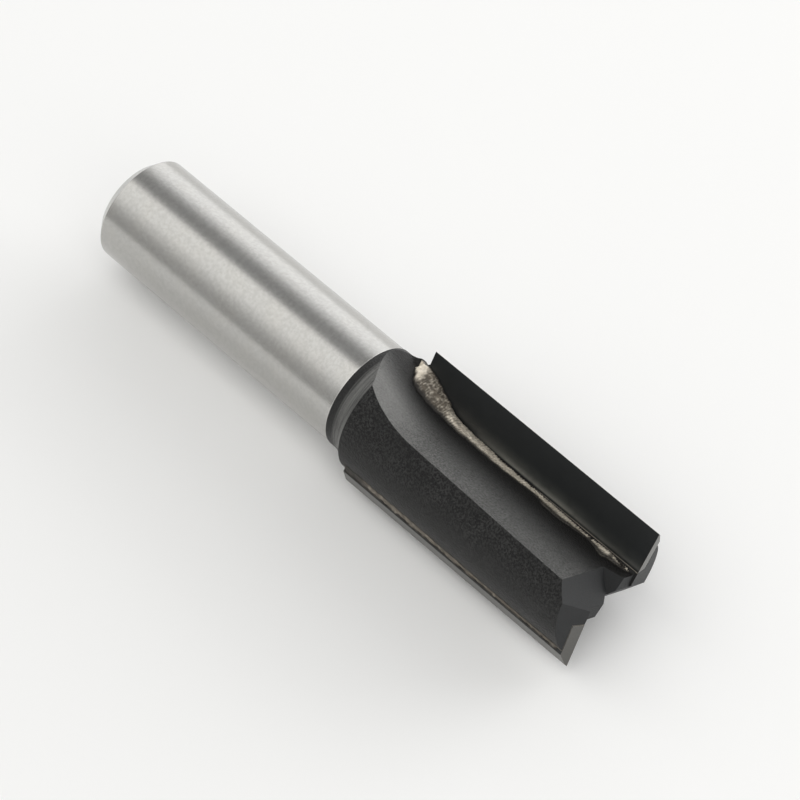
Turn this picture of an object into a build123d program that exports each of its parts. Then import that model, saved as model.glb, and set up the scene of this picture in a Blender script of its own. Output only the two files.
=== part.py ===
from build123d import *
from math import atan, cos, degrees, radians, sin, sqrt, tan
import os

os.makedirs("parts", exist_ok=True)

# A two-flute straight router bit, lying on its shank. X runs along the tool axis from the shank end
# to the cutting end, Z is up, and the origin is the centre of the shank's end face. All in mm, degrees.

# Shank and turned body
overall_length = 70.0
shank_diameter = 12.0
shank_length = 35.3
shank_chamfer = 1.0
coating_step = 0.05            # the ground shank lies this much under the coated neck
neck_length = 0.6
flare_length = 2.3
body_diameter = 14.0

# Cutting edges
cutting_diameter = 16.0
edge_angle = 39.7              # where the first edge lies round the axis, above +Y
hook_angle = 20.0
primary_relief = 10.0
primary_land = 0.4
secondary_relief = 28.0
end_relief = 12.0
end_dish = 2.7

# Carbide plates and their brazed seats
carbide_length = 31.4
carbide_width = 4.95
carbide_thickness = 1.5
braze_gap = 0.1
seat_front = 0.8               # the seat cutter clears this much in front of the plate
seat_run_in = 1.15             # the seat is cut this much longer than the plate
fill_radius = 6.3              # braze fills the run-in up to this far from the axis

# Flutes
web_at_end = 2.15              # from the axis to the flute floor at the cutting end
web_taper = 1.5
runout_start = 24.0            # from the cutting end to where the floor begins to rise
runout_radius = 20.0
runout_sweep = 70.0            # more than enough to leave the blank
flute_corner_radius = 0.5

# Gashes ground across the web at the cutting end
gash_depth = 1.0
gash_slope = 36.5
gash_wall_angle = 67.0
gash_offset = 0.1
centre_drop = 0.5

# Braze fillets: (distance from the cutting end, height up the plate, spread over the floor)
bead_sections = [
    (32.45, 2.45, 2.5),
    (31.4, 2.6, 2.65),
    (30.4, 2.65, 2.8),
    (28.2, 1.7, 2.2),
    (25.6, 0.85, 1.8),
    (23.4, 0.45, 1.7),
    (0.8, 0.3, 1.3),
]
back_bead_height = 0.3
back_bead_spread = 1.2
bead_end_gap = 0.4

# Worked out from the sizes above
shank_radius = shank_diameter / 2
neck_radius = shank_radius + coating_step
body_radius = body_diameter / 2
cutting_radius = cutting_diameter / 2
edge_out = cutting_radius * cos(radians(hook_angle))
edge_back = -cutting_radius * sin(radians(hook_angle))
plate_in = edge_out - carbide_width
plate_back = edge_back - carbide_thickness
plate_start = overall_length - carbide_length
land_edge = sqrt(body_radius**2 - plate_back**2)
seat_in = plate_in - braze_gap
seat_back = plate_back - braze_gap
seat_start = plate_start - seat_run_in
reach = 2 * cutting_diameter   # long enough to cut right across the tool


def side_axes(side):
    """Directions of one flute: out along its rake face, and square to that face, out of the steel."""
    turn = radians(edge_angle + hook_angle + 180 * side)
    return Vector(0, cos(turn), sin(turn)), Vector(0, -sin(turn), cos(turn))


def side_point(side, along, out, square):
    out_axis, square_axis = side_axes(side)
    return Vector(along, 0, 0) + out_axis * out + square_axis * square


def section_plane(side, along):
    """Square to the tool axis: x goes out along the rake face, y square to it."""
    out_axis, _ = side_axes(side)
    return Plane(origin=(along, 0, 0), x_dir=out_axis, z_dir=(1, 0, 0))


def rake_plane(side):
    """In the rake face: x along the tool axis, y out, and the flute on the side of its normal."""
    _, square_axis = side_axes(side)
    return Plane(origin=side_point(side, 0, 0, edge_back), x_dir=(1, 0, 0), z_dir=square_axis)


def end_plane(side):
    """The ground end of one wing, falling behind its edge and towards the axis."""
    out_axis, square_axis = side_axes(side)
    normal = Vector(1, 0, 0) - out_axis * tan(radians(end_dish)) - square_axis * tan(radians(end_relief))
    return Plane(origin=side_point(side, overall_length, edge_out, edge_back), z_dir=normal)


def flute_cutter(side):
    """What the flute mill takes away: a floor, a run-out and the wall that the plate sits in."""
    out_axis, square_axis = side_axes(side)
    floor_rise = tan(radians(web_taper))
    turn_point = (overall_length - runout_start, web_at_end + runout_start * floor_rise)
    far_point = (overall_length + reach, web_at_end - reach * floor_rise)
    with BuildPart() as cutter:
        with BuildSketch(rake_plane(side)):
            with BuildLine():
                floor = Line(far_point, turn_point)
                runout = JernArc(floor @ 1, floor % 1, runout_radius, -runout_sweep)
                Polyline(runout @ 1, (overall_length + reach, (runout @ 1).Y), far_point)
            make_face()
        extrude(amount=reach)
        wall_edges = cutter.edges().group_by(Axis((0, 0, 0), square_axis))[0]
        floor_edge = wall_edges.filter_by(GeomType.LINE).sort_by(Axis((0, 0, 0), out_axis))[0]
        runout_edge = wall_edges.filter_by(GeomType.CIRCLE)[0]
        fillet([floor_edge, runout_edge], flute_corner_radius)
    return cutter.part


def seat_cutter(side):
    """The pocket that takes one plate, open outwards and at the cutting end."""
    seat_reach = cutting_diameter
    with BuildPart() as cutter:
        with BuildSketch(section_plane(side, seat_start)):
            with Locations((seat_in, seat_back)):
                Rectangle(seat_reach, edge_back + seat_front - seat_back, align=(Align.MIN, Align.MIN))
        extrude(amount=seat_run_in + carbide_length + seat_reach)
    return cutter.part


# Steel body: shank, neck, flare and fluted body, turned and milled from one bar
with BuildPart() as steel_body:
    with BuildSketch(Plane.XY):
        with BuildLine():
            neck_end = shank_length + neck_length
            flare_end = neck_end + flare_length
            blank_end = overall_length + carbide_thickness
            Polyline(
                (0, 0),
                (0, shank_radius - shank_chamfer),
                (shank_chamfer, shank_radius),
                (shank_length, shank_radius),
                (shank_length, neck_radius),
                (neck_end, neck_radius),
            )
            TangentArc((neck_end, neck_radius), (flare_end, body_radius), tangent=(1, 0))
            Polyline((flare_end, body_radius), (blank_end, body_radius), (blank_end, 0), (0, 0))
        make_face()
    revolve(axis=Axis.X)
    for side in range(2):
        add(flute_cutter(side), mode=Mode.SUBTRACT)
        add(seat_cutter(side), mode=Mode.SUBTRACT)
        # The ground end of the wing
        with BuildSketch(end_plane(side)):
            Rectangle(reach, reach)
        extrude(amount=reach, mode=Mode.SUBTRACT)
        # The gash beside the other wing, a sloping floor with a steep wall
        out_axis, square_axis = side_axes(side)
        gash_plane = Plane(origin=(overall_length, 0, 0), x_dir=square_axis, z_dir=out_axis)
        travel = out_axis * cos(radians(gash_slope)) - Vector(1, 0, 0) * sin(radians(gash_slope))
        wall_run = reach / tan(radians(gash_wall_angle))
        with BuildSketch(gash_plane):
            with BuildLine():
                Polyline(
                    (-gash_offset, -gash_depth),
                    (reach, -gash_depth),
                    (reach, reach - gash_depth),
                    (-gash_offset - wall_run, reach - gash_depth),
                    (-gash_offset, -gash_depth),
                )
            make_face()
        extrude(amount=reach, dir=travel, both=True, mode=Mode.SUBTRACT)
    # The flat left on the web between the gashes
    with BuildSketch(section_plane(0, overall_length - centre_drop)):
        Rectangle(2 * plate_in, -2 * edge_back)
    extrude(amount=reach, mode=Mode.SUBTRACT)
steel_body.part.label = "steel_body"
export_step(steel_body.part, "parts/steel_body.step")

# Carbide plates, with their ground flanks and ends, and the braze that holds them
for side in range(2):
    with BuildPart() as carbide_tip:
        with BuildSketch(section_plane(side, plate_start)):
            with BuildLine():
                heading = 180 + 90 - hook_angle
                primary = PolarLine((edge_out, edge_back), primary_land, heading - primary_relief)
                secondary_heading = radians(heading - secondary_relief)
                drop = (primary @ 1).Y - plate_back
                heel = ((primary @ 1).X - drop / tan(secondary_heading), plate_back)
                Polyline(primary @ 1, heel, (plate_in, plate_back), (plate_in, edge_back), primary @ 0)
            make_face()
        extrude(amount=carbide_length + carbide_thickness)
        with BuildSketch(end_plane(side)):
            Rectangle(reach, reach)
        extrude(amount=reach, mode=Mode.SUBTRACT)
    carbide_tip.part.label = f"carbide_tip_{side + 1}"
    export_step(carbide_tip.part, f"parts/carbide_tip_{side + 1}.step")

    with BuildPart() as braze_seam:
        # The layer behind and under the plate
        with BuildSketch(section_plane(side, plate_start)):
            with Locations((seat_in, seat_back)):
                Rectangle(heel[0] - seat_in, edge_back - seat_back, align=(Align.MIN, Align.MIN))
        extrude(amount=carbide_length + carbide_thickness)
        # The pool that fills the run-in of the seat
        with BuildSketch(section_plane(side, seat_start)):
            Circle(fill_radius)
            with Locations((seat_in, seat_back)):
                corner = (Align.MIN, Align.MIN)
                Rectangle(fill_radius, edge_back - seat_back, align=corner, mode=Mode.INTERSECT)
        extrude(amount=seat_run_in)
        # The bead in the corner between the plate and the flute floor
        for from_end, height, spread in bead_sections:
            with BuildSketch(section_plane(side, overall_length - from_end)):
                with Locations((seat_in, edge_back)):
                    Ellipse(height, spread)
        loft(ruled=True)
        # The bead behind the plate, where its back leaves the steel
        back_edge = min(land_edge, heel[0])
        tangent = degrees(atan(plate_back / back_edge)) - 90
        with BuildSketch(section_plane(side, plate_start)):
            with Locations((back_edge, plate_back)):
                Ellipse(back_bead_spread, back_bead_height, rotation=tangent)
        extrude(amount=carbide_length - 2 * bead_end_gap)
        add(steel_body.part, mode=Mode.SUBTRACT)
        add(carbide_tip.part, mode=Mode.SUBTRACT)
        with BuildSketch(end_plane(side)):
            Rectangle(reach, reach)
        extrude(amount=reach, mode=Mode.SUBTRACT)
    braze_seam.part.label = f"braze_seam_{side + 1}"
    export_step(braze_seam.part, f"parts/braze_seam_{side + 1}.step")
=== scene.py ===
import bmesh
import bpy
import math
from mathutils import Matrix, Vector, noise


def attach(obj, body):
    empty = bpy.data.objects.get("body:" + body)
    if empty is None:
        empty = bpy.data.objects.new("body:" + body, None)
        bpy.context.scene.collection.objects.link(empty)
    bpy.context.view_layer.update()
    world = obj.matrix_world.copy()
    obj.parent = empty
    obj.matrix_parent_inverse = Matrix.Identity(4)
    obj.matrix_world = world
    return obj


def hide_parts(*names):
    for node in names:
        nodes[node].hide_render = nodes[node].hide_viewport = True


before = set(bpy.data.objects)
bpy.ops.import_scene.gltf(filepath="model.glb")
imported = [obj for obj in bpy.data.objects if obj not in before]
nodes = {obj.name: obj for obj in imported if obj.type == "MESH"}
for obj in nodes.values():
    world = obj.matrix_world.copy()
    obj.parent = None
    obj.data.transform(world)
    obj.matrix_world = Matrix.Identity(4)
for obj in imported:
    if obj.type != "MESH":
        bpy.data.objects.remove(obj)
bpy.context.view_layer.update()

# A two-flute straight router bit. The steel body and the carbide plates keep their CAD meshes and get
# materials here. The plain braze seams are replaced by lumpy ones.

MM = 0.001

# Sizes that the CAD model uses, in millimetres and degrees
LENGTH = 70.0
SHANK_END = 35.3
BODY_RADIUS = 7.0
SIDE_TURN = 59.7               # the first rake face's direction outwards, above +Y
EDGE_OUT = 7.518               # cutting edge, along the rake face from the axis
RAKE_Y = -2.736                # the rake face, square to that direction
PLATE_IN = 2.568
PLATE_START = 38.6
PLATE_BACK_Y = -4.236
BRAZE_GAP = 0.1
LAND_EDGE = 5.573              # where the back of the plate leaves the steel
HEEL = 6.03                    # where the plate's back meets its relief
SEAT_START = 37.45
WEB_AT_END = 2.15
WEB_TAPER = 1.5
RUNOUT_X = 46.0                # from here back to the shank the flute floor rises on an arc
RUNOUT_RADIUS = 20.0
END_SLOPES = (0.04716, 0.21256)    # of the ground end, outwards and square to the rake face

# Colours. A pair runs from the low to the high value of a texture.
SHANK_LINES = ((0.43, 0.425, 0.411), (0.55, 0.546, 0.53))
SHANK_WARM = (0.50, 0.488, 0.46)
SHANK_SPECK = (0.33, 0.325, 0.31)
SHANK_RIM_HIGHLIGHT = (0.68, 0.67, 0.65)
COAT_GRAIN_AND_PIT_SHADE = ((0.003, 0.003, 0.003), (0.048, 0.048, 0.0468))
COAT_CLOUD = (0.008, 0.008, 0.0078)
FLUTE_PAINTED_LIGHT = ((0.036, 0.036, 0.0345), (0.126, 0.126, 0.1215))
RUNOUT_HIGHLIGHT = (0.215, 0.215, 0.208)
FLUTE_PLATE_SHADE = (0.0045, 0.0042, 0.0038)
FLARE_REFLECTION = ((0.05, 0.05, 0.048), (0.165, 0.165, 0.159))
STEEL_WORN = (0.20, 0.20, 0.195)
STEEL_END = ((0.003, 0.0034, 0.0038), (0.009, 0.010, 0.011))
RAKE_CLOUD = ((0.008, 0.0092, 0.0098), (0.013, 0.0145, 0.015))
RAKE_HAZE = (0.135, 0.136, 0.122)
RAKE_SPECK = (0.030, 0.031, 0.031)
FLANK_SCRATCH = ((0.105, 0.104, 0.099), (0.175, 0.171, 0.161))
CARBIDE_EDGE_HIGHLIGHT = (0.36, 0.33, 0.27)
BRAZE_PALE_AND_HIGHLIGHT = ((0.105, 0.090, 0.071), (0.90, 0.825, 0.70))
BRAZE_STAIN = (0.33, 0.275, 0.21)
BRAZE_SPECK = (0.085, 0.066, 0.05)
BRAZE_FLUX_AND_SHADE = (0.014, 0.0125, 0.011)


def turned(side, out, square):
    """Y and Z of a point from its place out along a side's rake face and square to it."""
    t = math.radians(SIDE_TURN + 180 * side)
    return out * math.cos(t) - square * math.sin(t), out * math.sin(t) + square * math.cos(t)


def at(side, x, out, square):
    """The same point in the frame, in metres."""
    return Vector((x, *turned(side, out, square))) * MM


OUT_WAY = Vector((0.0, *turned(0, 1, 0))).normalized()
SQUARE_WAY = Vector((0.0, *turned(0, 0, 1))).normalized()


def smooth(v, low, high):
    """0 below low, 1 above high, eased between."""
    k = max(0.0, min(1.0, (v - low) / (high - low)))
    return k * k * (3 - 2 * k)


def held(v):
    return max(0.0, min(1.0, v))


def wander(*place):
    """Noise about 0 at a place."""
    return noise.noise(Vector(place))


def table_at(rows, x):
    """The rest of a table's row at x, eased from row to row."""
    if x <= rows[0][0]:
        return rows[0][1:]
    for a, b in zip(rows, rows[1:]):
        if x <= b[0]:
            k = (x - a[0]) / (b[0] - a[0])
            k = k * k * (3 - 2 * k)
            return tuple(p + (q - p) * k for p, q in zip(a[1:], b[1:]))
    return rows[-1][1:]


def flute_floor(x):
    """Height of the flute floor over the axis at x."""
    slope = math.radians(WEB_TAPER)
    if x >= RUNOUT_X:
        return WEB_AT_END + (LENGTH - x) * math.tan(slope)
    s = math.sin(slope) + (RUNOUT_X - x) / RUNOUT_RADIUS
    rise = RUNOUT_RADIUS * (math.cos(slope) - math.sqrt(max(0.0, 1 - s * s)))
    return WEB_AT_END + (LENGTH - RUNOUT_X) * math.tan(slope) + rise


# ---------------------------------------------------------------- node helpers
class Mat:
    """A material being wired: each call makes a node and returns the socket to use next."""

    def __init__(self, name):
        self.m = bpy.data.materials.new(name)
        self.m.use_nodes = True
        self.t = self.m.node_tree
        self.t.nodes.clear()
        self.out = self.n("ShaderNodeOutputMaterial")

    def n(self, kind, inputs=None, **props):
        node = self.t.nodes.new(kind)
        for k, v in props.items():
            setattr(node, k, v)
        for k, v in (inputs or {}).items():
            self.put(node.inputs[k], v)
        return node

    def put(self, sock, value):
        if isinstance(value, bpy.types.NodeSocket):
            self.t.links.new(value, sock)
        else:
            sock.default_value = value

    def math(self, op, a, b=0.0, c=0.0, clamp=False):
        return self.n("ShaderNodeMath", {0: a, 1: b, 2: c}, operation=op, use_clamp=clamp).outputs[0]

    def mul(self, a, b):
        return self.math("MULTIPLY", a, b)

    def add(self, a, b):
        return self.math("ADD", a, b)

    def sub(self, a, b):
        return self.math("SUBTRACT", a, b)

    def above(self, a, limit):
        return self.math("GREATER_THAN", a, limit)

    def below(self, a, limit):
        return self.math("LESS_THAN", a, limit)

    def size(self, a):
        return self.math("ABSOLUTE", a)

    def mix(self, fac, a, b):
        """Mix of two colours."""
        node = self.n("ShaderNodeMix", data_type="RGBA")
        self.put(node.inputs[0], fac)
        for sock, v in ((node.inputs[6], a), (node.inputs[7], b)):
            self.put(sock, (*v, 1) if isinstance(v, tuple) else v)
        return node.outputs[2]

    def mixf(self, fac, a, b):
        """Mix of two numbers."""
        return self.n("ShaderNodeMix", {0: fac, 2: a, 3: b}, data_type="FLOAT").outputs[0]

    def step(self, value, low, high, to_low=0.0, to_high=1.0):
        """value from low..high to to_low..to_high, smooth and held at both ends."""
        return self.n("ShaderNodeMapRange", {0: value, 1: low, 2: high, 3: to_low, 4: to_high},
                      interpolation_type="SMOOTHSTEP").outputs[0]

    def noise(self, vec, scale, detail=4.0, rough=0.55, dist=0.0):
        return self.n("ShaderNodeTexNoise", {"Vector": vec, "Scale": scale, "Detail": detail,
                                             "Roughness": rough, "Distortion": dist}).outputs["Fac"]

    def mm(self):
        """Object coordinates in millimetres."""
        co = self.n("ShaderNodeTexCoord").outputs["Object"]
        return self.n("ShaderNodeVectorMath", {0: co, "Scale": 1000.0}, operation="SCALE").outputs[0]

    def vec(self, x, y, z):
        return self.n("ShaderNodeCombineXYZ", {0: x, 1: y, 2: z}).outputs[0]

    def split(self, v):
        return self.n("ShaderNodeSeparateXYZ", {0: v}).outputs

    def dot(self, a, b):
        b = tuple(b) if isinstance(b, Vector) else b
        return self.n("ShaderNodeVectorMath", {0: a, 1: b}, operation="DOT_PRODUCT").outputs["Value"]

    def flat_normal(self):
        return self.n("ShaderNodeNewGeometry").outputs["True Normal"]

    def facing(self, direction):
        """How far the flat surface faces a fixed direction of the frame: 1 is square on."""
        return self.dot(self.flat_normal(), direction)

    def soft_normal(self, radius):
        """The normal with edges rounded by a radius in millimetres."""
        return self.n("ShaderNodeBevel", {"Radius": radius * MM}, samples=8).outputs[0]

    def edge(self, soft, gain):
        """1 near a sharp edge, from how far the rounded normal leaves the flat one."""
        normal = self.n("ShaderNodeNewGeometry").outputs["Normal"]
        return self.math("MULTIPLY", self.sub(1.0, self.dot(normal, soft)), gain, clamp=True)

    def bump(self, height, strength, distance, normal=None):
        """Relief from a height; the distance is in millimetres, or a socket in metres."""
        if isinstance(distance, float):
            distance *= MM
        ins = {"Height": height, "Strength": strength, "Distance": distance}
        if normal is not None:
            ins["Normal"] = normal
        return self.n("ShaderNodeBump", ins).outputs[0]

    def finish(self, **ins):
        p = self.n("ShaderNodeBsdfPrincipled")
        for k, v in ins.items():
            self.put(p.inputs[k.replace("_", " ")], v)
        self.t.links.new(p.outputs[0], self.out.inputs["Surface"])
        return self.m


# ---------------------------------------------------------------- materials
def steel_material():
    """Bright ground shank, then the black blasted coating, with smoother ground ends on the wings."""
    m = Mat("steel")
    co = m.mm()
    x, y, z = m.split(co)
    angle = m.math("ARCTAN2", z, y)
    radius = m.math("SQRT", m.add(m.mul(y, y), m.mul(z, z)))
    out, square = m.dot(co, OUT_WAY), m.dot(co, SQUARE_WAY)
    faces_end, faces_out = m.facing((1, 0, 0)), m.facing(OUT_WAY)

    # Shank: grinding lines run round it, and in circles on its end face
    end_face = m.above(m.size(faces_end), 0.9)
    along = m.mixf(end_face, x, radius)
    lines = m.noise(m.vec(m.mul(along, 13.0), m.mul(angle, 1.6), 0.0), 1.0, 6.0, 0.65)
    bands = m.noise(m.vec(m.mul(along, 1.6), m.mul(angle, 0.7), 7.0), 1.0, 3.0, 0.5)
    mottle = m.noise(co, 0.35, 3.0, 0.5)
    speckle = m.noise(co, 2.4, 5.0, 0.7)
    bare = m.mix(lines, *SHANK_LINES)
    bare = m.mix(m.step(mottle, 0.35, 0.7, 0.0, 0.35), bare, SHANK_WARM)
    bare = m.mix(m.step(speckle, 0.35, 0.65, 0.0, 0.30), bare, SHANK_SPECK)
    # A thin pale band just before the shank's end is a painted highlight on its rim
    bare = m.mix(m.step(x, SHANK_END - 0.10, SHANK_END - 0.05, 0.0, 0.8), bare, SHANK_RIM_HIGHLIGHT)
    bare_rough = m.add(m.mul(bands, 0.08), m.math("MULTIPLY_ADD", lines, 0.08, 0.14))

    # Coating: blast grain, its low pits painted darker as painted shade, strongest in colour and relief on the
    # half of each land next to its flute
    grain = m.noise(co, 4.5, 3.0, 0.6, 0.3)
    fine = m.noise(co, 9.0, 3.0, 0.6)
    cloud = m.noise(co, 0.5, 3.0, 0.5)
    deep = m.step(m.mul(faces_out, m.math("SIGN", square)), -0.45, 0.20, 0.30, 1.0)
    land = m.mul(m.below(m.size(faces_end), 0.01), m.above(radius, 6.4))
    deep = m.mixf(land, 0.22, deep)
    grain_and_pit_shade = m.mul(m.step(grain, 0.43, 0.59), deep)
    coat = m.mix(grain_and_pit_shade, *COAT_GRAIN_AND_PIT_SHADE)
    coat = m.mix(m.step(cloud, 0.35, 0.65, 0.0, 0.4), coat, COAT_CLOUD)
    coat_rough = m.math("MULTIPLY_ADD", grain, 0.22, 0.36)

    # The flute floor, without the neck's round faces and the steep faces at the cutting end
    side = m.math("SIGN", out)
    from_plate = m.sub(m.mul(square, side), RAKE_Y)
    radial = m.math("DIVIDE", m.dot(m.flat_normal(), m.vec(0.0, y, z)), radius)
    neck = m.mul(m.above(radial, 0.985), m.above(radius, 5.95))
    in_flute = m.mul(m.step(m.mul(faces_out, side), 0.55, 0.62), m.above(from_plate, 0.0))
    in_flute = m.mul(in_flute, m.above(faces_end, 0.01))
    in_flute = m.mul(in_flute, m.sub(1.0, neck))
    in_flute = m.mul(in_flute, m.below(faces_end, m.step(x, 50.0, 56.0, 0.9, 0.2)))
    # It is painted paler away from the plate, most at its run-out, as painted light, and painted dark beside
    # the plate as the plate's painted shade
    reach = m.mul(m.step(from_plate, 2.0, 8.5), m.step(x, 48.0, 40.0, 1.0, 1.5))
    pale = m.mul(in_flute, m.math("MINIMUM", reach, 1.0))
    pale = m.mul(pale, m.step(x, 66.0, 44.0, 0.75, 1.0))
    flute_light_colour = m.mix(m.step(m.noise(co, 4.6, 4.0, 0.7), 0.36, 0.64), *FLUTE_PAINTED_LIGHT)
    flute_light_colour = m.mix(m.step(x, 47.0, 39.0, 0.0, 0.5), flute_light_colour, RUNOUT_HIGHLIGHT)
    coat = m.mix(pale, coat, flute_light_colour)
    # Painted shade of the plate on the floor beside it
    burn_and_shade = m.mul(in_flute, m.step(from_plate, 3.4, 1.6))
    coat = m.mix(burn_and_shade, coat, FLUTE_PLATE_SHADE)

    # The flare behind the lands is painted paler in rings, a painted reflection of the bright shank
    flare_reflection = m.mul(m.step(m.facing((-1, 0, 0)), 0.06, 0.20), m.below(x, 45.0))
    rings = m.noise(m.vec(m.mul(x, 5.0), m.mul(angle, 1.2), 3.0), 1.0, 4.0, 0.6)
    coat = m.mix(flare_reflection, coat, m.mix(m.step(rings, 0.32, 0.68), *FLARE_REFLECTION))
    # Sharp edges are worn through here and there
    soft = m.soft_normal(0.045)
    worn = m.mul(m.edge(soft, 2.5), m.step(fine, 0.4, 0.65))
    coat = m.mix(m.mul(worn, 0.5), coat, STEEL_WORN)

    # The ends of the wings are ground smoother than the blasted faces
    ground_end = m.mul(m.above(x, 60.0), m.above(faces_end, 0.15))
    end_lines = m.noise(m.vec(m.mul(y, 3.0), m.mul(z, 14.0), 0.0), 1.0, 4.0, 0.6)
    coat = m.mix(ground_end, coat, m.mix(end_lines, *STEEL_END))
    coat_rough = m.mixf(ground_end, coat_rough, 0.50)
    blast = m.add(grain, m.mul(fine, 0.45))
    relief = m.mixf(ground_end, blast, m.mul(end_lines, 0.2))

    coated = m.above(x, SHANK_END + 0.03)
    relief = m.mixf(coated, m.mul(lines, 0.5), relief)
    depth = m.mul(m.mixf(coated, 0.03, deep), 0.62 * MM)
    return m.finish(Base_Color=m.mix(coated, bare, coat), Metallic=m.sub(1.0, coated),
                    Roughness=m.mixf(coated, bare_rough, coat_rough), Specular_IOR_Level=0.36,
                    Normal=m.bump(relief, 1.0, depth, soft))


def carbide_material():
    """Black rake face with a heat haze along the braze; the relief faces and the end are ground bare."""
    m = Mat("carbide")
    co = m.mm()
    x, y, z = m.split(co)
    rake = m.above(m.size(m.facing(SQUARE_WAY)), 0.96)
    cloud = m.noise(co, 0.6, 3.0, 0.5)
    specks = m.noise(co, 7.0, 3.0, 0.6)
    scratch = m.noise(m.vec(m.mul(x, 0.5), m.mul(y, 9.0), m.mul(z, 9.0)), 1.0, 4.0, 0.6)
    reach = m.size(m.dot(co, OUT_WAY))

    near = m.add(m.step(reach, 2.75, 3.55, 0.70, 0.0), m.step(reach, 2.9, 4.7, 0.30, 0.0))
    haze = m.mul(near, m.mul(m.step(x, 44.5, 52.0), m.step(x, 57.0, 65.0, 1.0, 0.45)))
    haze = m.mul(haze, m.step(cloud, 0.25, 0.55, 0.6, 1.0))
    haze = m.mul(haze, m.step(reach, 2.70, 2.92))
    dark = m.mix(haze, m.mix(cloud, *RAKE_CLOUD), RAKE_HAZE)
    dark = m.mix(m.step(specks, 0.62, 0.8, 0.0, 0.35), dark, RAKE_SPECK)

    soft = m.soft_normal(0.025)
    col = m.mix(rake, m.mix(scratch, *FLANK_SCRATCH), dark)
    # Sharp edges are painted a warm pale line, a painted highlight
    col = m.mix(m.edge(soft, 4.0), col, CARBIDE_EDGE_HIGHLIGHT)
    flank_rough = m.math("MULTIPLY_ADD", scratch, 0.14, 0.26)
    rake_rough = m.math("MULTIPLY_ADD", specks, 0.10, 0.34)
    relief = m.mixf(rake, scratch, m.mul(specks, 0.5))
    return m.finish(Base_Color=col, Metallic=m.sub(1.0, rake),
                    Roughness=m.mixf(rake, flank_rough, rake_rough),
                    Normal=m.bump(relief, 0.35, 0.012, soft))


def braze_material():
    """Silver-copper filler: pale metal on its tops, with painted highlights there, brown in the hollows, and
    dark at its edges from burned flux and painted shade.
    """
    m = Mat("braze")
    co = m.mm()
    flux_and_shade = m.n("ShaderNodeAttribute", attribute_name="flux_and_shade").outputs["Fac"]
    pale_and_highlight = m.n("ShaderNodeAttribute", attribute_name="pale_and_highlight").outputs["Fac"]
    speck = m.noise(co, 6.0, 4.0, 0.65)
    stain = m.noise(co, 0.9, 3.0, 0.55)
    # Pale metal with painted highlights on the tops of the braze
    col = m.mix(m.step(pale_and_highlight, 0.15, 0.75), *BRAZE_PALE_AND_HIGHLIGHT)
    col = m.mix(m.step(stain, 0.42, 0.68, 0.0, 0.30), col, BRAZE_STAIN)
    col = m.mix(m.step(speck, 0.55, 0.75, 0.0, 0.55), col, BRAZE_SPECK)
    # Dark edges of the braze from burned flux and painted shade
    col = m.mix(flux_and_shade, col, BRAZE_FLUX_AND_SHADE)
    rough = m.mixf(m.step(pale_and_highlight, 0.2, 0.9), 0.60, 0.32)
    metal = m.mixf(m.step(pale_and_highlight, 0.15, 0.6), 0.25, 0.55)
    fine = m.add(m.noise(co, 9.0, 4.0, 0.6), m.mul(m.noise(co, 24.0, 2.0, 0.5), 0.4))
    return m.finish(Base_Color=col, Metallic=metal, Roughness=rough, Normal=m.bump(fine, 0.7, 0.05))


def dress(node, mat):
    ob = nodes[node]
    if not ob.material_slots:
        ob.data.materials.append(mat)
    for slot in ob.material_slots:
        slot.material = mat


steel, carbide, braze = steel_material(), carbide_material(), braze_material()
dress("steel_body", steel)
for side in (1, 2):
    dress(f"carbide_tip_{side}", carbide)


# ---------------------------------------------------------------- braze
# Each part below gives its points, its faces and two values for each point, which the material reads:
# the first, 1 where the braze is dark from burned flux and painted shade, and the second, 1 where it is pale
# metal with a painted highlight.

def lumps(place, seed, size):
    """Rounded grains about size mm across, 0 to 1."""
    q = Vector(place) * (1.0 / size) + Vector((seed * 17.3, seed * 5.1, seed * 9.7))
    return max(0.0, 1.0 - noise.voronoi(q)[0][0] * 1.25)


def tube(rings, flux_and_shades, pale_and_highlights):
    """A closed tube through rings of points, with flat caps."""
    n = len(rings[0])
    faces = []
    for i in range(len(rings) - 1):
        for j in range(n):
            k = (j + 1) % n
            faces.append((i * n + j, i * n + k, (i + 1) * n + k, (i + 1) * n + j))
    last = (len(rings) - 1) * n
    faces.append(tuple(range(n - 1, -1, -1)))
    faces.append(tuple(last + j for j in range(n)))
    return [p for ring in rings for p in ring], faces, sum(flux_and_shades, []), sum(pale_and_highlights, [])


def build(name, parts, mat):
    """One object from several parts."""
    verts, faces, flux_and_shade, pale_and_highlight = [], [], [], []
    for part_verts, part_faces, part_flux_and_shade, part_pale_and_highlight in parts:
        start = len(verts)
        verts += part_verts
        faces += [tuple(i + start for i in face) for face in part_faces]
        flux_and_shade += part_flux_and_shade
        pale_and_highlight += part_pale_and_highlight
    mesh = bpy.data.meshes.new(name)
    mesh.from_pydata([tuple(v) for v in verts], [], faces)
    for key, values in (("flux_and_shade", flux_and_shade), ("pale_and_highlight", pale_and_highlight)):
        layer = mesh.attributes.new(key, "FLOAT", "POINT")
        layer.data.foreach_set("value", values)
    mesh.validate()
    bm = bmesh.new()
    bm.from_mesh(mesh)
    bmesh.ops.recalc_face_normals(bm, faces=bm.faces)
    bm.to_mesh(mesh)
    bm.free()
    for poly in mesh.polygons:
        poly.use_smooth = True
    mesh.materials.append(mat)
    ob = bpy.data.objects.new(name, mesh)
    bpy.context.scene.collection.objects.link(ob)
    return ob


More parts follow.
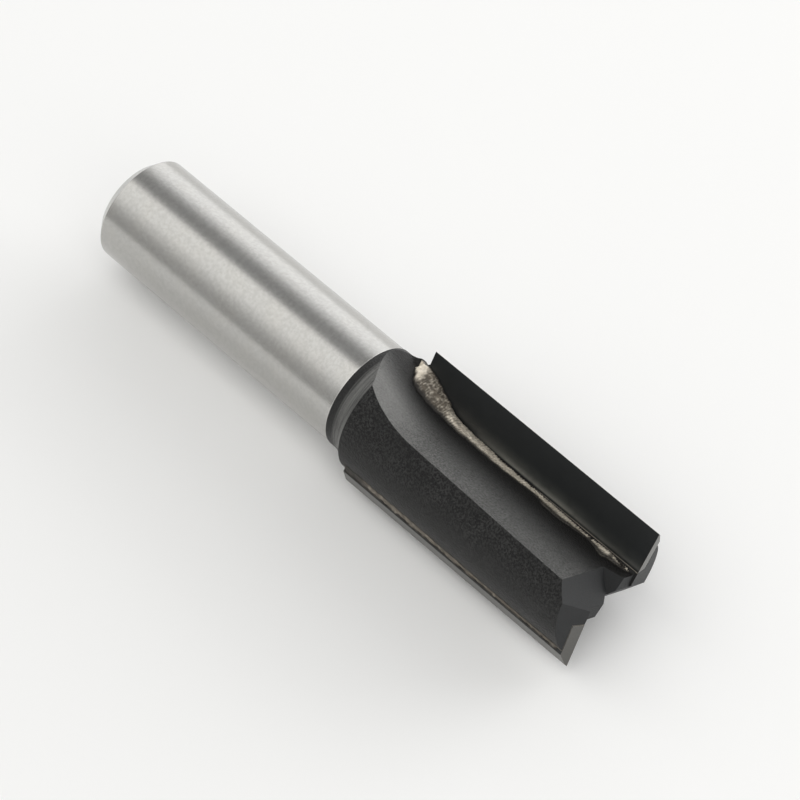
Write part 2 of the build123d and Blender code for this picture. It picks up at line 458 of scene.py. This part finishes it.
# Bead in the corner between flute floor and rake face: x, spread over the floor, top over the axis
BEAD = [
    (37.5, 0.75, 5.30), (38.1, 1.35, 5.62), (38.7, 2.00, 5.66), (39.3, 2.35, 5.58), (39.9, 2.42, 5.36),
    (40.8, 2.30, 4.92), (41.6, 2.12, 4.50), (42.4, 1.98, 4.12), (43.2, 1.86, 3.78), (44.0, 1.82, 3.50),
    (45.1, 1.84, 3.26), (47.3, 1.62, 3.02), (49.4, 1.62, 2.94), (51.6, 1.52, 2.66), (53.7, 1.26, 2.60),
    (55.9, 1.02, 2.54), (56.8, 1.14, 2.58), (57.6, 1.36, 2.64), (58.4, 1.52, 2.68), (60.2, 1.44, 2.62),
    (61.3, 1.15, 2.52), (62.4, 0.88, 2.46), (63.7, 0.76, 2.44), (64.6, 1.00, 2.50), (65.3, 1.36, 2.62),
    (65.9, 1.55, 2.70), (66.6, 1.15, 2.58), (67.3, 1.05, 2.58), (68.3, 0.74, 2.34), (69.1, 0.40, 2.26),
]
# The swellings below are painted bright, painted highlights
GOB_HIGHLIGHTS = ((58.3, 0.9, 1.0), (65.8, 0.5, 1.3))    # bright swellings of the bead: x, half width, level


def bead_part(side, step=0.06, around=28):
    """The bead itself: filler drawn up the plate near the shank, a ribbed rope from there on."""
    rings, flux_and_shades, pale_and_highlights = [], [], []
    count = int((BEAD[-1][0] - BEAD[0][0]) / step)
    rope_from = 0.42           # share of the spread at which the rope's round top begins
    for i in range(count + 1):
        x = BEAD[0][0] + i * step
        # The second seam runs the same way, with its own swellings
        spread, top = table_at(BEAD, x if side == 0 else x + 0.9 * wander(x * 0.5, 3.0, 40.0))
        spread *= 1.0 + 0.09 * wander(x * 1.1, side * 31.0, 4.0)
        floor_h = flute_floor(x)
        rise = max(top - floor_h, 0.10) * (1.0 + 0.06 * wander(x, side * 11.0, 9.0))
        end = smooth(min(i + 1, count + 1 - i) * step, 0.0, 0.5)
        drawn = smooth(rise, 0.45, 0.95)
        matt_share = drawn * smooth(x, 38.6, 39.6)
        gob_light = sum(level * math.exp(-((x - mid) / width) ** 2) for mid, width, level in GOB_HIGHLIGHTS)
        gob_light -= 0.7 * smooth(x, 60.5, 62.0) * (x < 65.0)
        # Where the dark edges on the floor and plate sides of the bead begin
        dark_low = 0.76 - 0.20 * smooth(x, 54.0, 58.0)
        dark_high = 0.84 - 0.16 * smooth(x, 46.0, 52.0)
        ring, flux_and_shade, pale_and_highlight = [], [], []
        for j in range(around + 1):
            # t runs over the section: 1 on the flute floor, 0 against the plate
            t = 1 - j / around
            t = t * t * (3 - 2 * t) * 0.4 + t * 0.6
            if t > rope_from:
                rope = math.sqrt(max(0.0, 1 - ((t - rope_from) / (1 - rope_from)) ** 2))
            else:
                rope = 1 - 0.72 * ((rope_from - t) / rope_from) ** 2
            web = (1 - t ** 1.55) ** (1 / 1.35)
            sq = RAKE_Y + spread * t
            out = floor_h + rise * (rope * (1 - drawn) + web * drawn) * end
            small = lumps((x, out * 0.9, sq), side + 1, 0.30)
            large = lumps((x * 0.8, out, sq), side + 5, 0.62)
            phase = x / 0.30 + 0.9 * wander(x * 1.1, sq * 0.6, side * 3.0) + 0.5 * t
            rib = 0.5 + 0.5 * math.sin(2 * math.pi * phase)
            # Swell it outwards, least at its rims
            swell = (small - 0.45) * 0.09 + (large - 0.4) * 0.07 + (rib - 0.5) * 0.10 * (1 - 0.6 * drawn)
            swell += 0.06 * wander(x * 2.0, out * 2.0, sq * 2.0 + side * 9)
            swell *= math.sin(math.pi * j / around) ** 0.6 * end
            way_out, way_sq = spread / max(rise, 0.2), t + 0.15
            length = math.hypot(way_out, way_sq)
            out += swell * way_out / length
            if t > 0.1:
                sq += swell * way_sq / length
            if j == 0:
                out = floor_h - 0.05
            ring.append(at(side, x, out, max(sq, RAKE_Y - 0.02)))
            # Painted highlights: the tops of the lumps, the ridges of the ribs, the top of the rope and its
            # swellings are painted pale, less past x 61, and the end near the shank brighter still; the filler
            # drawn up the plate is matt
            light = 0.10 + 0.22 * gob_light + 0.50 * small + 0.22 * large
            light += (1 - drawn) * (0.52 * rib + 0.60 * (rope - 0.55))
            sand = wander(x * 3.6, out * 3.6, sq * 3.6 + side * 5) + 0.6 * wander(x * 7.5, out * 7.5, sq * 7.5)
            matt = 0.29 + 0.26 * sand + 0.10 * (rib - 0.5) + 0.10 * (small - 0.45)
            matt -= 0.04 * smooth(t, 0.55, 0.75)
            light = light * (1 - matt_share) + matt * matt_share + 0.5 * (1 - smooth(x, 38.5, 39.5))
            pale_and_highlight.append(held(light))
            # Darkened towards both sides of the section, and in patches past x 61: burned flux and painted
            # shade
            patch = 0.5 + wander(x * 1.3, sq * 1.5, side * 7.0 + 3.0)
            burn_and_shade = smooth(x, 61.0, 64.0) * smooth(patch, 0.56, 0.72) * (1 - smooth(spread, 1.1, 1.4))
            floor_flux_and_shade = smooth(t, dark_low, 0.96 - 0.5 * (0.76 - dark_low))
            plate_flux_and_shade = smooth(1 - t, dark_high, dark_high + 0.14)
            flux_and_shade.append(max(floor_flux_and_shade, plate_flux_and_shade, burn_and_shade) * 0.96)
        # The corner under the bead
        ring.append(at(side, x, floor_h - 0.12, RAKE_Y - 0.02))
        pale_and_highlight.append(0.2)
        flux_and_shade.append(1.0)
        rings.append(ring)
        flux_and_shades.append(flux_and_shade)
        pale_and_highlights.append(pale_and_highlight)
    return tube(rings, flux_and_shades, pale_and_highlights)


def pool_part(side, nx=26, no=40):
    """Braze that fills the run-in of the seat, from its end wall to the end of the plate."""
    verts, flux_and_shade, pale_and_highlight, faces = [], [], [], []
    x0, x1 = SEAT_START + 0.01, PLATE_START + 0.03
    bottom, on_rake = 4.2, 1.52            # where it starts along the rake face, and how far it runs there
    flat = 0.55                            # share of the strip that lies along the rake face
    radius, turn, sweep = 6.38, -26.8, 15.0    # then it runs round the axis, inside the wing
    for i in range(nx + 1):
        u = i / nx
        x = x0 + (x1 - x0) * u
        dish = math.sin(math.pi * u)
        for j in range(no + 1):
            v = j / no
            if v < flat:
                out, sq = bottom + v / flat * on_rake, RAKE_Y + 0.05 - 0.12 * dish - 0.10 * (v / flat) ** 3
            else:
                past = (v - flat) / (1 - flat)
                angle = math.radians(turn - past * sweep)
                r = radius - 0.10 * (1 - past) ** 2
                out, sq = r * math.cos(angle), r * math.sin(angle)
            out -= 0.34 * dish * smooth(v, 0.15, 0.60)
            grain = lumps((x, out, sq), side + 9, 0.34)
            rough = wander(x * 2.6, out * 2.6, side * 4.0)
            sq += ((grain - 0.4) * 0.05 + 0.06 * rough) * math.sin(math.pi * u) ** 0.5
            verts.append(at(side, x, out, sq))
            # Its ends and the part round inside the wing are painted dark as painted shade; the part on the
            # rake face is painted pale, with painted highlights on its grains
            flux_and_shade.append(max(0.45 * max(0.0, 1 - min(u, 1 - u) * 14), 0.9 * smooth(v, 0.56, 0.78)))
            pale_and_highlight.append(held(0.80 - 0.45 * smooth(v, 0.42, 0.62) + 0.3 * grain + 0.25 * rough))
    w = no + 1
    for i in range(nx):
        for j in range(no):
            a = i * w + j
            faces.append((a, a + 1, a + w + 1, a + w))
    # Close it down into the seat: walls from its border to a flat base
    border = list(range(w)) + [i * w + no for i in range(1, nx + 1)]
    border += [nx * w + j for j in range(no - 1, -1, -1)] + [i * w for i in range(nx - 1, 0, -1)]
    base, nb = len(verts), len(border)
    for k in border:
        i, j = divmod(k, w)
        verts.append(at(side, x0 + (x1 - x0) * i / nx, bottom + j / no * 0.35, PLATE_BACK_Y - 0.08))
        flux_and_shade.append(0.3)
        pale_and_highlight.append(0.4)
    for q in range(nb):
        r = (q + 1) % nb
        faces.append((border[q], border[r], base + r, base + q))
    faces.append(tuple(base + q for q in range(nb)))
    return verts, faces, flux_and_shade, pale_and_highlight


def back_part(side, step=0.075, around=16):
    """Rough bead outside, where the back of the plate leaves the steel, with hollows at the plate that are
    painted dark as painted shade.
    """
    rings, flux_and_shades, pale_and_highlights = [], [], []
    xs = []
    x = PLATE_START + 0.15
    while x < LENGTH - 0.95:
        xs.append(x)
        x += step
    edge_turn = math.atan2(PLATE_BACK_Y, LAND_EDGE)
    on_land, bulge = 0.7, 0.62     # share of the section on the land, and of a half wave that its height makes
    for i, x in enumerate(xs):
        slow = wander(x * 0.45, side * 13.0, 2.0)
        quick = wander(x * 1.7, side * 13.0, 5.0)
        width = (1.30 - 0.75 * smooth(x, 46.0, 62.0)) * (1 + 0.30 * slow + 0.22 * quick)
        height = 0.15 + 0.08 * slow
        hollow = held(0.5 + 1.9 * wander(x * 0.75, side * 23.0, 8.0))
        end = min(1.0, (i + 1) * step / 0.5, (len(xs) - i) * step / 0.5)
        ring, flux_and_shade, pale_and_highlight = [], [], []
        for j in range(around + 1):
            # t runs from the land, over the crest, to the back of the plate
            t = j / around
            if t < on_land:
                s = t / on_land
                turn = edge_turn - (width * (1 - s)) / BODY_RADIUS
                r = BODY_RADIUS + height * math.sin(math.pi * (0.06 + 0.94 * s) * bulge) * end
                out, sq = r * math.cos(turn), r * math.sin(turn)
            else:
                s = (t - on_land) / (1 - on_land)
                turn = edge_turn
                r = BODY_RADIUS + height * math.sin(math.pi * bulge) * end * (1 - s * s)
                out = r * math.cos(turn) + s * (HEEL - LAND_EDGE) * 0.75
                sq = r * math.sin(turn) - hollow * 0.10 * math.sin(math.pi * s) - 0.03
                sq += s * (PLATE_BACK_Y - r * math.sin(turn))
            small = lumps((x, out, sq), side + 21, 0.26)
            large = lumps((x, out, sq), side + 27, 0.50)
            swell = (small * 0.7 + large * 0.8 - 0.6) * 0.13 * math.sin(math.pi * held(t)) ** 0.6 * end
            out += swell * math.cos(edge_turn)
            sq += swell * math.sin(edge_turn)
            if j == 0:
                out -= 0.05 * math.cos(turn)
                sq -= 0.05 * math.sin(turn)
            ring.append(at(side, x, out, sq))
            # Lump tops are painted pale as painted highlights; the corner on the land, the groove at the plate
            # and the hollows are painted dark as painted shade; short of x 43 the whole bead is darker
            fade = 0.10 * smooth(x, 52.0, 66.0)
            pale_and_highlight.append(held(0.12 + 0.18 * small + 0.12 * large + 0.14 * quick - fade))
            corner_and_hollow_shade = 1 - t * 9.0 if t < 0.3 else (t - 0.62) * 3.2 + 0.5 * hollow * (t > 0.55)
            flux_and_shade.append(max(held(corner_and_hollow_shade), 0.85 * (1 - smooth(x, 41.0, 43.2))))
        # The corner under the bead
        ring.append(at(side, x, LAND_EDGE - 0.15, PLATE_BACK_Y + 0.03))
        pale_and_highlight.append(0.2)
        flux_and_shade.append(1.0)
        rings.append(ring)
        flux_and_shades.append(flux_and_shade)
        pale_and_highlights.append(pale_and_highlight)
    return tube(rings, flux_and_shades, pale_and_highlights)


def film_part(side, cuts=8):
    """The thin film of braze behind and under the plate, which shows as a line on the ground end."""
    inside, behind, top = PLATE_IN - BRAZE_GAP, PLATE_BACK_Y - BRAZE_GAP, 5.55
    outline = [(inside, behind), (top, behind), (top, PLATE_BACK_Y), (PLATE_IN, PLATE_BACK_Y),
               (PLATE_IN, RAKE_Y), (inside, RAKE_Y)]
    rings = []
    for k in range(cuts + 1):
        ring = []
        for out, sq in outline:
            end = LENGTH + (out - EDGE_OUT) * END_SLOPES[0] + (sq - RAKE_Y) * END_SLOPES[1] - 0.04
            ring.append(at(side, PLATE_START + (end - PLATE_START) * k / cuts, out, sq))
        rings.append(ring)
    return tube(rings, [[0.55] * len(outline)] * len(rings), [[0.45] * len(outline)] * len(rings))


for side in (0, 1):
    parts = [bead_part(side), pool_part(side), back_part(side), film_part(side)]
    piece = build(f"braze_{side + 1}", parts, braze)
    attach(piece, "root")
    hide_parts(f"braze_seam_{side + 1}")


# ---------------------------------------------------------------- stage
FLOOR = -6.64 * MM             # just clear of the cutting end, which is wider than the shank
FLOOR_HALF = 4.0
FLOOR_COLOR = (0.90, 0.90, 0.897, 1)

corners = [(x * FLOOR_HALF, y * FLOOR_HALF, FLOOR) for x, y in ((-1, -1), (1, -1), (1, 1), (-1, 1))]
floor_mesh = bpy.data.meshes.new("floor")
floor_mesh.from_pydata(corners, [], [(0, 1, 2, 3)])
floor = bpy.data.objects.new("floor", floor_mesh)
bpy.context.scene.collection.objects.link(floor)
fm = Mat("floor_pale")
fm.t.links.new(fm.n("ShaderNodeBsdfDiffuse", {"Color": FLOOR_COLOR}).outputs[0], fm.out.inputs["Surface"])
floor_mesh.materials.append(fm.m)

# A light tent seen end on: degrees round the tool axis, from the far side over the top to the near
# side, and its level there, which the near side gives a little warmer
TENT = [
    (-40, 1.55), (22, 1.62), (34, 1.42), (45, 0.98), (55, 0.56), (64, 0.40), (76, 0.40), (84, 0.50),
    (87, 0.90), (89, 1.32), (97, 1.48), (108, 1.34), (122, 1.36), (130, 1.20), (137, 1.05), (145, 0.86),
    (153, 0.68), (161, 0.58), (172, 0.50), (180, 0.50),
]
TENT_SPLIT = 85
TENT_TINTS = ((0.5, 0.5, 0.5), (0.5, 0.4975, 0.487))    # far side, near side
TENT_STRENGTH = 1.93

world = bpy.data.worlds.new("studio")
bpy.context.scene.world = world
world.use_nodes = True
wt = world.node_tree
wt.nodes.clear()
way = wt.nodes.new("ShaderNodeTexCoord").outputs["Generated"]
parts_of = wt.nodes.new("ShaderNodeSeparateXYZ")
wt.links.new(way, parts_of.inputs[0])
turn = wt.nodes.new("ShaderNodeMath")
turn.operation = "ARCTAN2"
wt.links.new(parts_of.outputs["Z"], turn.inputs[0])
wt.links.new(parts_of.outputs["Y"], turn.inputs[1])
first, last = TENT[0][0], TENT[-1][0]
place = wt.nodes.new("ShaderNodeMapRange")
place.inputs["From Min"].default_value = math.radians(first)
place.inputs["From Max"].default_value = math.radians(last)
wt.links.new(turn.outputs[0], place.inputs["Value"])
shade = wt.nodes.new("ShaderNodeValToRGB")
wt.links.new(place.outputs["Result"], shade.inputs["Fac"])
ramp = shade.color_ramp
while len(ramp.elements) < len(TENT):
    ramp.elements.new(0.5)
for stop, (degrees, level) in zip(ramp.elements, TENT):
    stop.position = (degrees - first) / (last - first)
    stop.color = (*(level * tint for tint in TENT_TINTS[degrees > TENT_SPLIT]), 1)
bg = wt.nodes.new("ShaderNodeBackground")
wt.links.new(shade.outputs["Color"], bg.inputs["Color"])
bg.inputs["Strength"].default_value = TENT_STRENGTH
wt.links.new(bg.outputs[0], wt.nodes.new("ShaderNodeOutputWorld").inputs[0])


def softbox(name, where, aim, width, height, level):
    """An area lamp whose face shows at the given level."""
    lamp = bpy.data.lights.new(name, "AREA")
    lamp.shape = "RECTANGLE"
    lamp.size, lamp.size_y = width, height
    lamp.energy = level * math.pi * width * height
    ob = bpy.data.objects.new(name, lamp)
    bpy.context.scene.collection.objects.link(ob)
    ob.location = where
    ob.rotation_euler = (Vector(aim) - Vector(where)).to_track_quat("-Z", "X").to_euler()


softbox("far_side", where=(0.31, 0.80, 0.20), aim=(0.05, 0.0, 0.0), width=0.50, height=0.80, level=2.8)

# ---------------------------------------------------------------- camera
CAMERA_AT = (0.2417, -0.1915, 0.3594)
CAMERA_WAY = (-0.4471, 0.4241, -0.7876)
CAMERA_LENS = 203.5
CAMERA_SENSOR = 36.0

cam_data = bpy.data.cameras.new("camera")
cam = bpy.data.objects.new("camera", cam_data)
bpy.context.scene.collection.objects.link(cam)
forward = Vector(CAMERA_WAY).normalized()
right = forward.cross(Vector((0, 0, 1))).normalized()
up = right.cross(forward)
facing = Matrix((right, up, -forward)).transposed().to_4x4()
cam.matrix_world = Matrix.Translation(CAMERA_AT) @ facing
cam_data.sensor_width = CAMERA_SENSOR
cam_data.lens = CAMERA_LENS
cam_data.clip_start = 0.01
cam_data.clip_end = 20.0
bpy.context.scene.camera = cam

bpy.context.scene.view_settings.view_transform = "Standard"
